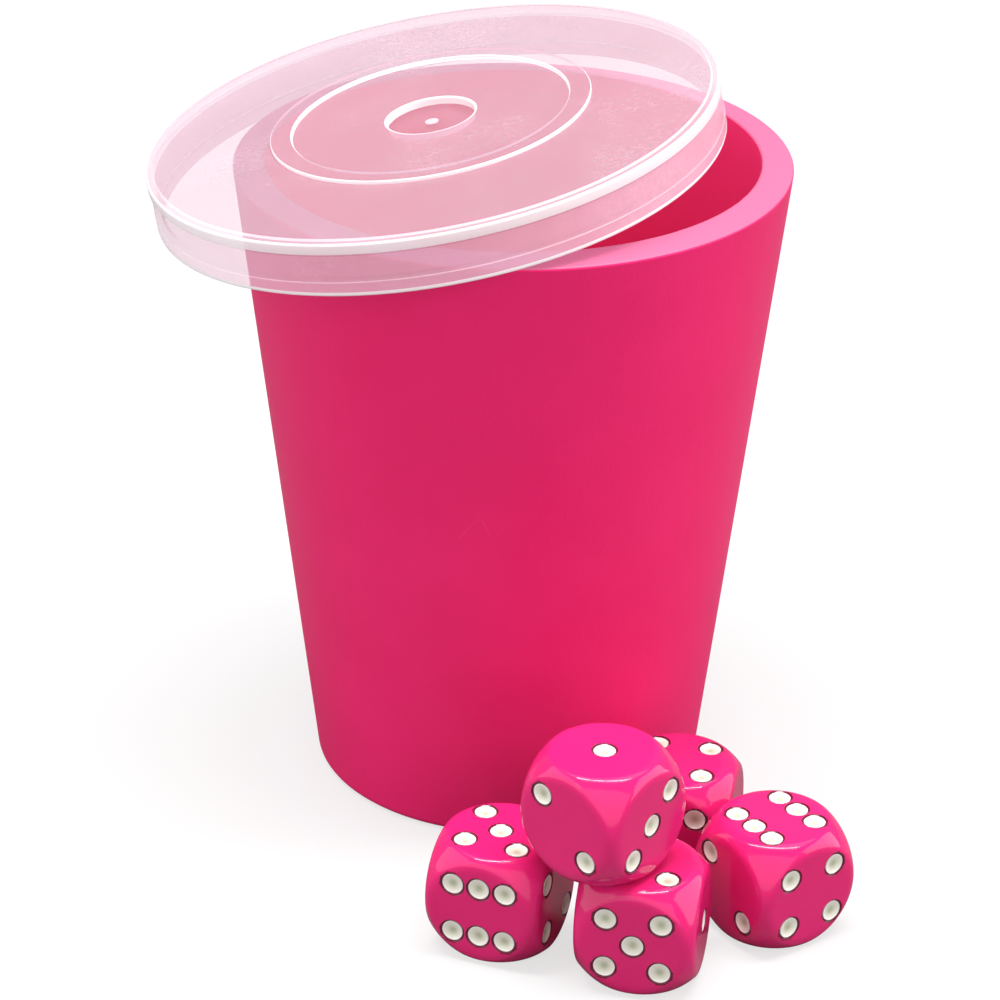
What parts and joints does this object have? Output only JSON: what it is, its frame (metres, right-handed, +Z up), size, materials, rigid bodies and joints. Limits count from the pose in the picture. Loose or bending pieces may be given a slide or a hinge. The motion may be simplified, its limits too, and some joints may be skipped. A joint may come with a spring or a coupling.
{
  "type": "dice cup with lid and dice",
  "caption": "Tapered pink plastic dice cup with a thick wall, a frosted press-on lid resting ajar on its rim, and matching pipped dice piled in front.",
  "frame": {"origin": "centre of the cup's flat base, on the surface that the cup and the dice stand on", "axes": "+Z up along the cup's axis; the dice are piled on the -Y side and the lid leans towards -X"},
  "size_m": [0.0948, 0.1056, 0.1028],
  "materials": {
    "cup_plastic": "satin moulded plastic, hot pink all through",
    "lid_plastic": "frosted translucent soft plastic with faint scuffs",
    "die_plastic": "polished opaque hot pink plastic",
    "pip_paint": "white enamel in dished pips"
  },
  "bodies": {
    "cup": {"cup": "cup_plastic"},
    "lid": {"lid": "lid_plastic"},
    "die_top": {"die_top": "die_plastic", "pips_top": "pip_paint"},
    "die_left": {"die_left": "die_plastic", "pips_left": "pip_paint"},
    "die_front": {"die_front": "die_plastic", "pips_front": "pip_paint"},
    "die_right": {"die_right": "die_plastic", "pips_right": "pip_paint"},
    "die_back": {"die_back": "die_plastic", "pips_back": "pip_paint"}
  },
  "joints": [
    {"name": "lid_lift", "type": "slide", "parent": "cup", "child": "lid", "axis": [0, 0, 1], "range_m": [0, 0.06]},
    {"name": "die_top_lift", "type": "slide", "parent": "cup", "child": "die_top", "axis": [0, 0, 1], "range_m": [0, 0.03]},
    {"name": "die_left_slide", "type": "slide", "parent": "cup", "child": "die_left", "axis": [-0.9659, -0.2588, 0], "range_m": [0, 0.045]},
    {"name": "die_front_slide", "type": "slide", "parent": "cup", "child": "die_front", "axis": [-0.1392, -0.9903, 0], "range_m": [0, 0.045]},
    {"name": "die_right_slide", "type": "slide", "parent": "cup", "child": "die_right", "axis": [0.848, -0.5299, 0], "range_m": [0, 0.045]},
    {"name": "die_back_slide", "type": "slide", "parent": "cup", "child": "die_back", "axis": [0.788, 0.6157, 0], "range_m": [0, 0.05]}
  ]
}
